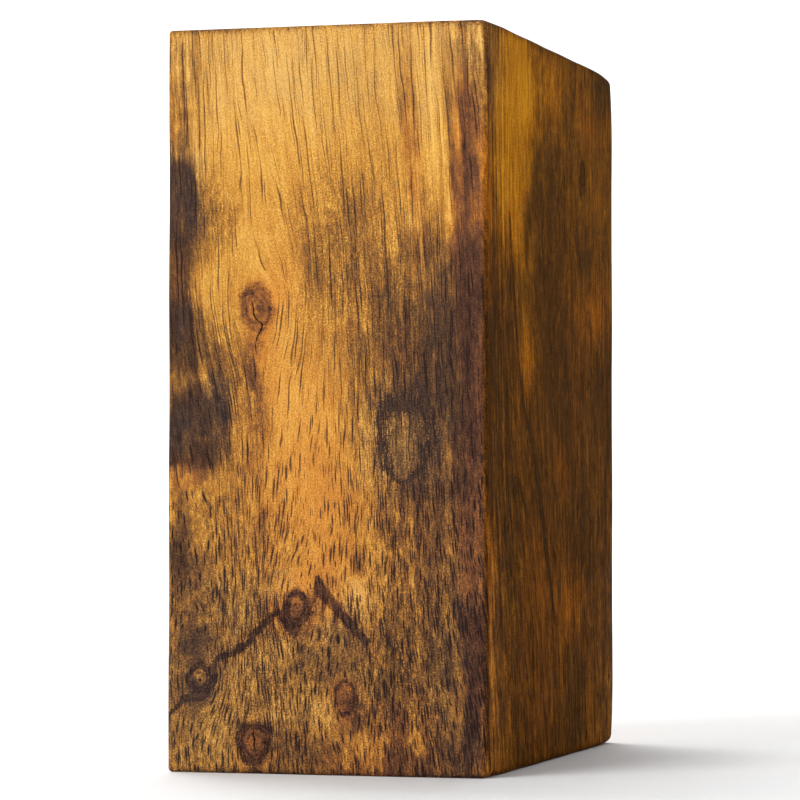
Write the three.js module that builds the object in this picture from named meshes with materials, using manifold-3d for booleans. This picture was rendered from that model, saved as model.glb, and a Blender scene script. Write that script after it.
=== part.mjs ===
// A block of burl wood, sawn and sanded on six sides, standing on its end grain.
// It is one piece of wood: a box with eased edges, a few softer corners, and the drying
// checks and bud piths that stay open in its knots.
//
// Millimetres, +Z up along the grain. The origin is the centre of the bottom face. The
// figured face with the knots looks along -Y, and the wide side next to it along +X.

import * as THREE from "three";
import { mergeVertices } from "three/addons/utils/BufferGeometryUtils.js";
import Module from "manifold-3d";

// The block: 2 inch stock, so 51 mm across the figured face.
const WIDTH = 51; // along X
const DEPTH = 83.5; // along Y
const HEIGHT = 114.5; // along Z
const HALF = [WIDTH / 2, DEPTH / 2, HEIGHT / 2];

// The sanded edges: their usual radius, how much it wanders, and the length of one wander.
const EDGE_RADIUS = 0.6;
const EDGE_WANDER = 0.13;
const WANDER_LENGTH = 31;

// Corners worn rounder than the edges, or left sharper: which corner, how much radius it adds,
// how far along the edges that reaches.
const SOFT_CORNERS = [
  { at: [1, 1, 1], extra: 1.3, reach: 5.5 },
  { at: [1, 1, -1], extra: 1.1, reach: 5 },
  { at: [1, -1, -1], extra: 0.7, reach: 7 },
  { at: [1, -1, 1], extra: 0.5, reach: 6 },
  { at: [-1, -1, -1], extra: -0.1, reach: 8 },
  { at: [-1, -1, 1], extra: -0.1, reach: 8 },
  { at: [-1, 1, 1], extra: 1.1, reach: 7 },
  { at: [-1, 1, -1], extra: 0.7, reach: 6 },
];

// Grid lines near each edge, by their distance from it, so that the rounding is smooth.
const EDGE_LINES = [0, 0.3, 0.6, 0.95, 1.5, 2.2, 3];
const FACE_CELLS = [5, 7, 9]; // between the edge lines, along X, Y and Z

// Checks: open cracks in knots. Each is a path on its face as [across, height above the
// base], with its widest opening and its depth.
const CHECKS = [
  {
    face: "front",
    path: [
      [-12.0, 72.5],
      [-11.6, 71.4],
      [-11.5, 70.2],
      [-10.9, 69.4],
      [-10.2, 68.8],
      [-10.5, 67.8],
      [-11.0, 66.8],
      [-11.2, 65.9],
    ],
    opening: 0.5,
    depth: 1.3,
  },
  {
    face: "front",
    path: [[-11.45, 6.9], [-11.6, 6.0], [-11.35, 5.2], [-11.45, 4.4], [-11.2, 3.4]],
    opening: 0.5,
    depth: 1.5,
  },
  {
    face: "back",
    path: [[9.4, 84.6], [9.7, 83.2], [9.3, 81.9], [9.8, 80.4], [9.5, 79.2]],
    opening: 0.4,
    depth: 1.4,
  },
  {
    face: "left",
    path: [[-14.5, 41.9], [-14.1, 40.6], [-14.6, 39.4], [-14.2, 38.1]],
    opening: 0.34,
    depth: 1.2,
  },
  {
    face: "right",
    path: [[19.4, 96.8], [19.8, 95.7], [19.4, 94.4], [19.6, 93.4]],
    opening: 0.3,
    depth: 1.1,
  },
];

// Bud piths: tiny open pits at the middle of a knot.
const PITHS = [
  { face: "front", at: [-9.75, 4.8], radius: 0.3, depth: 0.7 },
  { face: "front", at: [-20.2, 14.2], radius: 0.28, depth: 0.6 },
  { face: "front", at: [-4.8, 25.9], radius: 0.22, depth: 0.5 },
  { face: "back", at: [-6.1, 31.4], radius: 0.3, depth: 0.7 },
  { face: "left", at: [12.2, 71.6], radius: 0.28, depth: 0.6 },
];

// How far a cutter stands out of the face it cuts, and how much it narrows at its bottom.
const CUTTER_PROUD = 0.4;
const CUTTER_FLOOR = 0.25;
const CHECK_STEPS = 14;
const SAME_HEIGHT = 1e-4;
const PITH_SIDES = 8;

// A face's frame: from its own [across, up, out] to the block's X, Y and Z. "Across" runs
// along +X on the front and back and along +Y on the left and right.
const FACES = {
  front: { across: [1, 0, 0], out: [0, -1, 0], half: HALF[1] },
  back: { across: [1, 0, 0], out: [0, 1, 0], half: HALF[1] },
  right: { across: [0, 1, 0], out: [1, 0, 0], half: HALF[0] },
  left: { across: [0, 1, 0], out: [-1, 0, 0], half: HALF[0] },
};

// The place of a face's point [across, height above the base, height over the face], in a
// frame centred on the block.
function onFace(faceName, across, height, proud) {
  const face = FACES[faceName];
  return new THREE.Vector3(0, 0, height - HALF[2])
    .addScaledVector(new THREE.Vector3(...face.across), across)
    .addScaledVector(new THREE.Vector3(...face.out), face.half + proud);
}

// The radius of the easing near a point of the box.
function edgeRadius(point) {
  const turn = (2 * Math.PI) / WANDER_LENGTH;
  const wander =
    Math.sin(turn * point[2] + 1.3) + 0.6 * Math.sin(1.7 * turn * (point[0] + point[1]) + 0.4);
  let radius = EDGE_RADIUS + EDGE_WANDER * wander;
  for (const { at, extra, reach } of SOFT_CORNERS) {
    const gap = Math.hypot(...point.map((value, i) => value - at[i] * HALF[i]));
    radius += extra * Math.exp(-((gap / reach) ** 2));
  }
  return Math.min(radius, EDGE_LINES.at(-1));
}

// Where grid line number "index" lies along an axis, counted from the low side.
function gridPlace(index, axis) {
  const lines = EDGE_LINES.length - 1;
  const cells = FACE_CELLS[axis];
  const total = 2 * lines + cells;
  if (index <= lines) return -HALF[axis] + EDGE_LINES[index];
  if (index >= total - lines) return HALF[axis] - EDGE_LINES[total - index];
  const inner = HALF[axis] - EDGE_LINES[lines];
  return -inner + (2 * inner * (index - lines)) / cells;
}

// A closed geometry with shared corners, as the solid modeller needs it.
function welded(geometry) {
  geometry.deleteAttribute("normal");
  geometry.deleteAttribute("uv");
  return mergeVertices(geometry, 1e-4);
}

// The box with every edge rounded by its local radius.
function easedBox() {
  const segments = FACE_CELLS.map((cells) => cells + 2 * (EDGE_LINES.length - 1));
  const geometry = welded(new THREE.BoxGeometry(WIDTH, DEPTH, HEIGHT, ...segments));
  const position = geometry.getAttribute("position");
  for (let i = 0; i < position.count; i++) {
    const even = [position.getX(i), position.getY(i), position.getZ(i)];
    const point = even.map((value, axis) => {
      const step = (2 * HALF[axis]) / segments[axis];
      return gridPlace(Math.round((value + HALF[axis]) / step), axis);
    });
    const radius = edgeRadius(point);
    const inner = point.map((value, axis) => {
      const limit = HALF[axis] - radius;
      return THREE.MathUtils.clamp(value, -limit, limit);
    });
    const away = point.map((value, axis) => value - inner[axis]);
    const length = Math.hypot(...away);
    const scale = length > 0 ? radius / length : 0;
    const placed = inner.map((value, axis) => value + away[axis] * scale);
    position.setXYZ(i, ...placed);
  }
  return geometry;
}

// A wedge that cuts one check: a closed outline round the path, smoothed, widest at its middle
// and pointed at both ends, drawn down into the wood and narrowed at the bottom.
function checkCutter({ face, path, opening, depth }) {
  const knots = path.map(([across, height]) => new THREE.Vector2(across, height));
  const middle = new THREE.SplineCurve(knots).getPoints(CHECK_STEPS);
  const halfAt = (i) => (opening / 2) * Math.sin((Math.PI * (i + 1)) / (CHECK_STEPS + 2)) ** 0.6;
  const right = middle.map(({ x, y }, i) => new THREE.Vector2(x + halfAt(i), y));
  const left = middle.map(({ x, y }, i) => new THREE.Vector2(x - halfAt(i), y)).reverse();
  const shape = new THREE.Shape([...right, ...left]);
  const geometry = welded(new THREE.ExtrudeGeometry(shape, { depth: 1, bevelEnabled: false }));
  const position = geometry.getAttribute("position");
  for (let i = 0; i < position.count; i++) {
    const [across, height, level] = [position.getX(i), position.getY(i), position.getZ(i)];
    const row = middle.find(({ y }) => Math.abs(y - height) < SAME_HEIGHT);
    const narrowed = row.x + (across - row.x) * CUTTER_FLOOR;
    const placed =
      level > 0.5
        ? onFace(face, across, height, CUTTER_PROUD)
        : onFace(face, narrowed, height, -depth);
    position.setXYZ(i, ...placed);
  }
  return geometry;
}

// A cone that cuts one pith, its tip in the wood.
function pithCutter({ face, at, radius, depth }) {
  const height = depth + CUTTER_PROUD;
  const mouth = (radius * height) / depth;
  const geometry = new THREE.ConeGeometry(mouth, height, PITH_SIDES);
  const inwards = new THREE.Vector3(...FACES[face].out).negate();
  const turn = new THREE.Quaternion().setFromUnitVectors(new THREE.Vector3(0, 1, 0), inwards);
  geometry.applyQuaternion(turn);
  const middle = onFace(face, at[0], at[1], CUTTER_PROUD - height / 2);
  geometry.translate(middle.x, middle.y, middle.z);
  return welded(geometry);
}

const wasm = await Module();
wasm.setup();

// A solid from a closed geometry, turned outside out if its faces point inwards.
function solidFrom(geometry) {
  const triVerts = new Uint32Array(geometry.index.array);
  const vertProperties = new Float32Array(geometry.getAttribute("position").array);
  const solid = new wasm.Manifold(new wasm.Mesh({ numProp: 3, vertProperties, triVerts }));
  if (solid.volume() > 0) return solid;
  for (let i = 0; i < triVerts.length; i += 3) {
    [triVerts[i + 1], triVerts[i + 2]] = [triVerts[i + 2], triVerts[i + 1]];
  }
  return new wasm.Manifold(new wasm.Mesh({ numProp: 3, vertProperties, triVerts }));
}

function geometryFrom(solid) {
  const mesh = solid.getMesh();
  const geometry = new THREE.BufferGeometry();
  geometry.setAttribute("position", new THREE.BufferAttribute(mesh.vertProperties, 3));
  geometry.setIndex(new THREE.BufferAttribute(mesh.triVerts, 1));
  geometry.computeVertexNormals();
  return geometry;
}

// The block with its checks and piths cut.
function cutBlock() {
  let solid = solidFrom(easedBox());
  for (const check of CHECKS) {
    solid = solid.subtract(solidFrom(checkCutter(check)));
  }
  for (const pith of PITHS) {
    solid = solid.subtract(solidFrom(pithCutter(pith)));
  }
  return geometryFrom(solid);
}

const wood = new THREE.MeshStandardMaterial({ color: 0xc08a3a, roughness: 0.5, metalness: 0 });
const block = new THREE.Mesh(cutBlock(), wood);
block.name = "burl_block";
block.position.set(0, 0, HALF[2]); // its bottom face at the origin

const group = new THREE.Group();
group.add(block);

export default group;
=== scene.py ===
"""A block of burl wood with gold and dark figure, knots, open checks and bud piths.

The block stands on its end grain at the middle of a pale seamless stage. The wood is worked
out in millimetres; the finished meshes are in metres.
"""

import math
from collections import namedtuple
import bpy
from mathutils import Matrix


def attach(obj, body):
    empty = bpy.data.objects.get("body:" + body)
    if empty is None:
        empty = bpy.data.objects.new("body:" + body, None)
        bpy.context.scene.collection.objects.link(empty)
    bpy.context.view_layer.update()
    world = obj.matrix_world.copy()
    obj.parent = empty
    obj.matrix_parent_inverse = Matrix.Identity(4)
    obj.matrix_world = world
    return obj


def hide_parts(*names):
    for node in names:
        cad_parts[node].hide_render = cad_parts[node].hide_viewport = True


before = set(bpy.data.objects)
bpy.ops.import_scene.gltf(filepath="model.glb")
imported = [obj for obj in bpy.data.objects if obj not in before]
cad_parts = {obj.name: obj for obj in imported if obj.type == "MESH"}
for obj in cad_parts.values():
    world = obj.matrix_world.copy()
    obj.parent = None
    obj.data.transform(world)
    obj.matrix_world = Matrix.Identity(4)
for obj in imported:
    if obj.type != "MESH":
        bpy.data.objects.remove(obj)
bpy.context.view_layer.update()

from types import SimpleNamespace

import bmesh
import bpy
import numpy as np
from mathutils import Matrix, Vector

MM = 0.001
NEAR_ZERO = 1e-9

# The block in millimetres: the same values as the CAD block's.
SIZE = np.array([51.0, 83.5, 114.5])
HALF = SIZE / 2
EDGE_RADIUS = 0.6
EDGE_WANDER = 0.13
WANDER_LENGTH = 31.0
# The waves of that wander: the way each runs, where it starts and its size.
EDGE_WAVES = [((0.0, 0.0, 1.0), 1.3, 1.0), ((1.7, 1.7, 0.0), 0.4, 0.6)]

# Corners worn rounder than the edges, or left sharper: which corner, the radius it adds, how
# far that reaches.
SOFT_CORNERS = [
    ((1, 1, 1), 1.3, 5.5),
    ((1, 1, -1), 1.1, 5.0),
    ((1, -1, -1), 0.7, 7.0),
    ((1, -1, 1), 0.5, 6.0),
    ((-1, -1, -1), -0.1, 8.0),
    ((-1, -1, 1), -0.1, 8.0),
    ((-1, 1, 1), 1.1, 7.0),
    ((-1, 1, -1), 0.7, 6.0),
]

# Lines of the mesh near each edge, by their distance from it, and the even cells between them.
EDGE_LINES = [0.0, 0.3, 0.6, 0.95, 1.5, 2.2, 3.0]
FACE_CELLS = [70, 78, 160]

# The six faces: the axis that runs across each, the one that runs up it, the one that leaves
# it, and the side it is on. Heights on the upright faces count from the base.
Face = namedtuple("Face", "across up out side")
FACES = {
    "front": Face(0, 2, 1, -1),
    "back": Face(0, 2, 1, 1),
    "right": Face(1, 2, 0, 1),
    "left": Face(1, 2, 0, -1),
    "top": Face(0, 1, 2, 1),
    "bottom": Face(0, 1, 2, -1),
}

# Open checks: a path of [across, height], the widest opening and the depth.
Check = namedtuple("Check", "face path opening depth")
CHECKS = [
    Check("front", [(-12.0, 72.5), (-11.6, 71.4), (-11.5, 70.2), (-10.9, 69.4), (-10.2, 68.8),
                    (-10.5, 67.8), (-11.0, 66.8), (-11.2, 65.9)], 0.5, 1.3),
    Check("front", [(-11.45, 6.9), (-11.6, 6.0), (-11.35, 5.2), (-11.45, 4.4), (-11.2, 3.4)],
          0.5, 1.5),
    Check("back", [(9.4, 84.6), (9.7, 83.2), (9.3, 81.9), (9.8, 80.4), (9.5, 79.2)], 0.4, 1.4),
    Check("left", [(-14.5, 41.9), (-14.1, 40.6), (-14.6, 39.4), (-14.2, 38.1)], 0.34, 1.2),
    Check("right", [(19.4, 96.8), (19.8, 95.7), (19.4, 94.4), (19.6, 93.4)], 0.3, 1.1),
]

# How a check is cut: the steps along its path, how bluntly it ends, how ragged its lips are
# and how fast that changes, how far the cutter stands out of the face, and the share of its
# width that is left at its bottom.
CHECK_STEPS = 28
CHECK_BLUNT = 0.6
CHECK_RAGGED = 0.5
RAGGED_TURN = 2.2
CUTTER_PROUD = 0.4
CUTTER_FLOOR = 0.25
SAME_HEIGHT = 1e-4

# Bud piths, which are tiny open pits: a place, a radius and a depth.
Pith = namedtuple("Pith", "face at radius depth")
PITHS = [
    Pith("front", (-9.75, 4.8), 0.3, 0.7),
    Pith("front", (-20.2, 14.2), 0.28, 0.6),
    Pith("front", (-4.8, 25.9), 0.22, 0.5),
    Pith("back", (-6.1, 31.4), 0.3, 0.7),
    Pith("left", (12.2, 71.6), 0.28, 0.6),
]
PITH_SIDES = 12

# Knots: the place, the half width and half height, how far the grain is pushed aside, how
# dark and how thick the rim is, and how dark and how red the knot is inside.
Knot = namedtuple("Knot", "face at half push rim rim_width fill red")
KNOTS = [
    Knot("front", (-10.9, 71.4), (2.4, 3.3), 3.0, 0.14, 0.24, 0.2, 1.0),
    Knot("front", (-4.6, 25.5), (1.7, 2.1), 2.4, 0.7, 0.28, 0.2, 1.6),
    Knot("front", (-20.3, 14.5), (1.6, 1.9), 2.2, 0.74, 0.28, -0.1, 0.1),
    Knot("front", (3.1, 11.9), (1.6, 2.3), 1.8, 0.5, 0.13, 0.0, 0.9),
    Knot("front", (-11.4, 4.9), (2.2, 2.8), 2.6, 0.56, 0.26, 0.3, 1.6),
    Knot("back", (9.6, 82.0), (2.8, 3.8), 3.2, 0.25, 0.2, 0.24, 0.8),
    Knot("back", (-6.1, 31.4), (1.9, 2.5), 2.6, 0.4, 0.25, 0.2, 0.8),
    Knot("back", (14.5, 20.0), (1.5, 2.0), 2.0, 0.4, 0.25, 0.2, 0.8),
    Knot("left", (-14.4, 40.0), (2.4, 3.2), 2.8, 0.35, 0.22, 0.24, 0.8),
    Knot("left", (12.2, 71.6), (1.7, 2.3), 2.4, 0.4, 0.25, 0.2, 0.7),
    Knot("left", (24.0, 20.0), (2.0, 2.6), 2.6, 0.4, 0.25, 0.22, 0.8),
    Knot("right", (19.6, 95.1), (1.8, 2.4), 2.4, 0.2, 0.25, 0.2, 0.6),
]
KNOT_STRETCH = 1.9  # the grain bends over this many times the height that it bends across
KNOT_REACH = 6.0  # and that fades out over this many times its push
KNOT_DEPTH = 14.0  # how deep a knot still pushes the grain aside
KNOT_MARK_DEPTH = 5.0  # how deep its own colours go
KNOT_BORDER = 0.08  # how softly they end at its rim, in knot widths
KNOT_ROUGH = 0.12  # how uneven its outline is
KNOT_LOBES = [(2, 1, 0.6), (3, 2, 0.5), (7, 3, 0.3)]  # the waves round it: turns, shift, size
KNOT_FAR = 3.0  # the ring number of wood that is away from any knot
FINE_REACH = 1.7  # the mesh is finer within this many knot widths
SKIN = 1.0  # what lies this near under a face belongs to it

# How the grain leans on a face: a middle [across, height], a half width and half height, and
# the slope there, positive where the grain comes down to the right.
Lean = namedtuple("Lean", "face across height half_width half_height slope")
GRAIN_SLOPE = 0.045
LEANS = [
    Lean("front", 1, 98, 15, 20, 0.09),
    Lean("front", -5, 62, 5, 9, -0.14),
    Lean("front", -17, 62, 4, 8, 0.16),
    Lean("front", -3, 34, 8, 12, -0.15),
    Lean("front", -18, 9, 6, 7, -0.24),
    Lean("front", 20, 15, 7, 16, 0.12),
    Lean("right", -16, 58, 16, 32, 0.2),
    Lean("right", 24, 30, 14, 24, -0.12),
    Lean("back", 6, 60, 12, 26, 0.12),
    Lean("back", -14, 88, 10, 18, -0.12),
    Lean("left", -4, 50, 18, 28, -0.14),
    Lean("left", 26, 84, 12, 20, 0.12),
]

# The vessels run nearly flat under the front face near the top and dive more steeply into it
# below, which is what makes their lines long above and short below.
DIVE_TOP = 0.016
DIVE_BELOW = 0.11
DIVE_HEIGHT = 46.0
DIVE_BLEND = 9.0

# How far apart two points are compared to see how much the grain spreads, and its limits.
SPREAD_STEP = 0.05
SPREAD_RANGE = (0.08, 2.5)

# Soft patches of figure. Each row is an oval on a face: its middle across the face and its
# height, its half width and half height, its lean and how much it adds. How softly it ends
# and how deep it goes follow where they aren't the usual ones.
Patch = namedtuple("Patch", "across height half_width half_height lean amount soft depth",
                   defaults=(0.2, None))
PATCH_DEPTH = {"front": 9.0, "back": 9.0, "left": 9.0, "right": 2.0, "top": 0.8, "bottom": 0.8}

# Where the wood is darker, or with a negative amount lighter.
STAIN = {
    "front": [
        # the brown streaks at the top left corner
        (-24.0, 105.5, 2.6, 9.5, 0.02, 0.2), (-20.2, 108, 1.7, 8, 0, 0.1),
        (-24.6, 101, 1.2, 5, 0, 0.16, 0.3),
        # the streaks in the gold at the top
        (13.3, 98, 1.3, 12, 0.06, 0.16), (7.5, 102, 5, 12, 0, 0.08, 0.4),
        (19.8, 96, 0.9, 12, 0.06, 0.16, 0.3, 4), (16.8, 82, 1.0, 7.5, 0.08, 0.3),
        (18.2, 86, 1.2, 6, 0.06, 0.06),
        # the stripes at the top right, and the band that runs down the right edge
        (24.4, 104.0, 1.3, 5.5, 0, 0.42, 0.3, 2.5), (21.6, 52.4, 2.0, 4.4, 0, -0.24, 0.3, 2.5),
        (22.8, 68, 1.6, 9, 0, 0.22, 0.3, 2.5), (22.4, 75.5, 1.6, 4.0, 0.05, 0.26, 0.3, 2.5),
        (19.8, 70, 0.8, 5, 0, -0.14, 0.3, 4), (20.8, 78, 1.4, 6, 0.05, 0.12),
        (23.0, 104, 2.6, 14, 0.06, 0.2, 0.14, 2.5), (21.8, 92, 0.6, 12, 0.06, 0.2, 0.2, 2.5),
        (23.1, 84, 1.7, 12, 0.08, 0.39, 0.14, 1.8), (23.6, 57, 3.6, 21, 0, 0.62, 0.12, 1.8),
        (24.4, 20, 2.4, 18, 0, 0.56, 0.2, 1.8), (20.8, 65, 1.6, 16, 0.05, 0.36),
        # the black patch at the left edge, and its speckled fringe
        (-24.4, 87.4, 3.4, 6.6, 0, 0.84, 0.09, 6), (-20.8, 84.5, 1.9, 5.0, 0, 0.42, 0.22),
        (-18.2, 84.6, 1.7, 4.6, 0, 0.2, 0.3), (-15.4, 84.6, 1.3, 3.0, -0.2, 0.2, 0.3),
        # the red-brown column under it, and the blue-black streak in it
        (-24.6, 76, 2.6, 7, -0.03, 0.8, 0.14, 6), (-23.3, 68.6, 0.9, 3.0, 0, 0.4),
        # the brown field at the left, with its black patches and the dark arc below
        (-23.2, 66.6, 3.2, 4.4, 0.08, 0.7, 0.14), (-20.4, 62.4, 3.6, 3.6, 0, 0.2, 0.22),
        (-24.2, 61.6, 2.2, 1.8, 0, 0.26, 0.3), (-21.6, 52.6, 5.2, 6.0, 0, 0.55, 0.14),
        (-18.0, 54.4, 1.8, 3.6, -0.05, 0.64), (-23.6, 50.8, 2.0, 2.2, 0, 0.26, 0.3),
        (-23.0, 53.2, 2.5, 4.0, 0, 0.74, 0.16), (-21.6, 49.0, 4.0, 1.5, 0, 0.6),
        # the wood round the upper knot, its tail and the olive cloud beside it
        (-16, 78, 5, 6, 0, 0.05, 0.4), (-12.5, 66.2, 2.8, 3.0, 0, 0.14, 0.3),
        (-11.3, 72.5, 1.4, 1.0, 0.2, 0.18, 0.3, 5), (-14, 47, 4, 5, 0, 0.1, 0.4),
        (-14.8, 59, 2.6, 2.2, 0, 0.14, 0.3), (-14.6, 58, 4.4, 9, 0.22, 0.2),
        (-12.6, 62.9, 0.6, 1.5, 0.35, 0.34), (-11.7, 59.6, 0.6, 1.8, 0.3, 0.34),
        (-10.6, 56.4, 0.5, 1.4, 0.2, 0.26),
        # the mottled cloud at the upper middle
        (2.6, 80, 6.4, 9.5, 0.1, 0.25, 0.25), (3.4, 86.0, 2.0, 3.0, 0.1, 0.16),
        (3.6, 79.0, 1.6, 3.0, 0, 0.14), (-1.6, 78.8, 1.8, 3.4, 0, 0.14),
        (1.0, 68, 5.0, 6.5, 0, 0.12, 0.3), (3.4, 62, 2.6, 6, 0, 0.06, 0.3),
        # the brown field at the right, its left border sharp
        (14.0, 72, 5.2, 9, 0.04, 0.22, 0.16), (17.0, 65, 2.4, 3.0, 0, 0.16, 0.3),
        (12.0, 61.5, 1.2, 4, 0, -0.1, 0.3), (15.2, 65, 5.8, 8, 0.05, 0.38, 0.16),
        (9.2, 67, 1.2, 9, 0, 0.16, 0.3), (5.5, 58, 2.1, 9, 0, 0.24), (15, 62, 7.4, 22, 0, 0.12),
        (5.9, 64.6, 1.4, 2.6, 0, 0.22), (16.4, 51, 7.2, 10, 0, 0.42, 0.1),
        # the lighter wood inside the ring-shaped mark, and the wood at its shoulders
        (12.9, 50.2, 3.0, 4.6, 0, -0.2, 0.12), (11.4, 57.2, 3.0, 1.4, 0, 0.24, 0.3),
        (15.4, 56.8, 1.9, 1.6, 0, 0.24, 0.3), (19, 46.5, 2.4, 1.8, 0, -0.14, 0.3),
        # the olive wood of the lower third
        (7, 41, 7, 8, 0, 0.1, 0.3), (17.6, 33, 3.0, 7, 0, 0.18), (-16, 18, 14, 20, 0, 0.22, 0.2, 20),
        (-22.6, 38, 3.6, 9, 0, 0.22, 0.3), (-16, 40, 5, 6, 0, 0.1, 0.3),
        (4, 11, 14, 17, 0, 0.26, 0.16, 20), (16, 20, 7, 26, 0, 0.25, 0.2, 20), (21, 12, 6, 20, 0, 0.22),
        # the darker places in it
        (11.4, 24, 1.2, 2.4, 0, 0.14, 0.3), (16.4, 31, 1.6, 1.4, 0, 0.12, 0.3),
        (-23.6, 34.5, 1.6, 4.4, 0, 0.4), (-21, 20.6, 2.6, 2.6, -0.4, 0.3),
        (-22.4, 14.5, 4.2, 5.4, 0, 0.16), (-10, 30, 1.4, 1.4, 0, 0.18, 0.3),
        (-22.6, 25.5, 2.6, 2.6, 0, 0.18, 0.3), (-20.5, 10, 4.4, 5, 0, 0.12, 0.3),
        (0, 15.6, 2.6, 2.4, 0, 0.14, 0.3), (20.6, 23, 1.0, 4.0, 0, 0.18, 0.3),
        (17.2, 17.5, 1.2, 2.6, 0, 0.14, 0.3), (6.4, 17, 2.4, 4, 0, 0.08), (-9.7, 38, 1.2, 1.8, 0, 0.22),
        (5.2, 32.4, 0.9, 1.8, 0, 0.36), (10.8, 36.3, 1.1, 1.8, 0, 0.3), (9.9, 17, 0.8, 4.2, 0.05, 0.26),
        (23.2, 21.5, 1.2, 5.5, 0.1, 0.24), (22.6, 5, 3.2, 6, 0, 0.2), (11.4, 2, 1.2, 2.8, 0, 0.26),
        (-2.6, 3.6, 4.0, 3.8, 0, 0.16), (3.6, 18.6, 2.4, 2.6, 0, 0.14), (5.0, 9.0, 1.5, 1.9, 0.3, 0.26),
        (5.6, 7.2, 1.8, 1.6, 0, 0.1, 0.3),
        # the gold places in it
        (21.0, 37, 1.8, 3.2, 0, -0.14, 0.3, 2.5), (-6.8, 28.2, 2.8, 2.4, -0.3, -0.16),
        (4.9, 26.0, 1.9, 2.4, 0, -0.16, 0.3), (-0.6, 31.4, 4, 2.4, 0, -0.08, 0.3),
        (-6, 9.4, 3.4, 3.2, 0, -0.2), (-7.6, 17.4, 2.6, 2.8, 0, -0.16),
        (-15.6, 4.4, 1.8, 3, 0, -0.16, 0.3), (16.4, 10.5, 2.4, 4, 0, -0.1, 0.3),
        (14, 25, 1.4, 2.4, 0, -0.14, 0.3), (14, 15, 1.5, 2.4, 0, -0.1, 0.3),
        (18.8, 9.6, 1.8, 2.6, 0, -0.16, 0.3), (0.6, 40.4, 4.5, 3.4, 0, -0.05, 0.3),
        (-13.6, 14.5, 2.4, 4.2, 0, -0.14), (-0.2, 10.2, 2.0, 3.4, 0, -0.28),
        (8.4, 4.6, 2.4, 2.0, 0, -0.18), (13.7, 5.6, 1.9, 1.9, 0, -0.3), (7.4, 28, 3.0, 3.4, 0.4, -0.14),
    ],
    "right": [
        # brown wood all over
        (0, 57, 60, 80, 0, 0.66, 0.2, 0.9),
        # the gold at the top of the near side, and the darker places in it
        (-25.5, 98, 12, 20, 0, -0.47, 0.14), (-6, 106.5, 14, 7, -0.1, -0.26),
        (-15.6, 87, 2.8, 8, -0.45, 0.24), (-27, 75.5, 6, 2.4, 0, 0.22, 0.3),
        (-9.6, 85.5, 2.4, 5, 0.1, -0.2, 0.3), (-32, 110, 6, 5, 0, 0.1, 0.3),
        (-20, 74, 5, 5, 0.1, -0.18, 0.3),
        # the dark arch and what hangs from it
        (-1, 88, 10, 10, 0.16, 0.14, 0.12), (-6, 72, 5, 14, 0.2, 0.2), (5, 62, 7, 12, 0.1, 0.24),
        (-33, 58, 6, 18, 0.05, 0.2, 0.16),
        # the darker clouds
        (10, 105, 2.8, 2.8, 0, 0.2, 0.3), (36, 36, 6, 5, 0, 0.1, 0.3), (-12, 50, 4, 7, 0.3, 0.12),
        (12, 108, 4.6, 4.2, 0, 0.08), (21, 81, 5, 5, 0.2, 0.24), (30, 57.5, 7, 6, 0.1, 0.14),
        (18, 37, 8, 9, 0, 0.2), (14, 9, 7, 8, 0, 0.24), (36.5, 112, 8, 5, 0, 0.3),
        (-29, 26, 9, 22, 0.1, 0.08),
        # the lighter and orange places
        (-11.4, 68, 2.0, 7, 0.1, -0.14, 0.3), (-17.5, 30, 2.2, 6, 0.3, -0.18, 0.3),
        (8, 16, 4.5, 4, 0, -0.1, 0.3), (31, 97, 5, 5, 0, -0.12, 0.3), (14, 106, 10, 5, 0, -0.16, 0.3),
        (-17.5, 64, 4.4, 5.0, 0.1, -0.36), (26, 104, 9, 2.6, 0, -0.1, 0.3),
        (30, 90, 9, 7, 0, -0.08, 0.3), (32, 73, 11, 5.5, 0, -0.34, 0.4), (-6, 15, 6, 10, 0, -0.08, 0.3),
        (5.2, 46.4, 3.6, 3.4, 0, -0.26, 0.3), (11, 26, 8, 5.4, 0, -0.34, 0.4),
        (-8, 29, 4, 6, 0.2, -0.28, 0.3), (-15, 14, 3.6, 8, 0.1, -0.16, 0.3),
        (22, 8, 22, 14, 0, -0.13, 0.3), (-34, 10, 6, 12, 0, -0.24, 0.3),
        # the near edge; the long lighter strip on the eased edge itself is a painted highlight
        (-37.4, 57, 1.8, 14, 0, 0.6, 0.3), (-37, 30, 1.8, 4, 0, -0.3, 0.3),
        (-41.2, 57, 1.3, 70, 0, -0.24, 0.3, 1.2), (-39.6, 20, 2.6, 22, 0, -0.47, 0.3),
    ],
    "back": [
        (-17, 98, 6, 13, 0.1, 0.44, 0.14), (-22, 72, 4.5, 14, 0, 0.5, 0.14), (-8, 62, 4, 6, 0.1, 0.3),
        (19, 104, 5, 9, -0.1, 0.34), (22, 66, 4, 17, 0, 0.5, 0.14), (14, 52, 4, 6, 0, 0.34),
        (4, 95, 4, 8, 0.1, 0.16), (0, 14, 26, 18, 0, 0.24, 0.2, 20), (-15, 30, 6, 9, 0.2, 0.24),
        (8, 36, 3, 4, 0, 0.3), (20, 8, 4, 7, 0, 0.26), (-20, 6, 4, 5, 0, -0.16), (4, 8, 4, 5, 0, -0.16),
        (14, 76, 2, 6, 0, 0.2),
    ],
    "left": [
        (-34, 92, 8, 10, 0.1, 0.3, 0.16), (-36, 60, 7, 13, 0, 0.36, 0.14),
        (-6, 94, 9, 13, -0.1, 0.42, 0.14), (-2, 60, 5, 9, -0.1, 0.3), (33, 100, 7, 12, 0, 0.36, 0.16),
        (36, 56, 5, 18, 0, 0.46, 0.14), (20, 50, 6, 7, 0.1, 0.3), (0, 14, 44, 18, 0, 0.22, 0.2, 20),
        (-22, 22, 7, 8, 0.2, 0.28), (8, 26, 6, 7, 0, 0.26), (34, 8, 6, 7, 0, 0.26),
        (-4, 6, 7, 5, 0, -0.18), (-26, 5, 5, 4, 0, -0.14),
    ],
    "top": [
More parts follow.
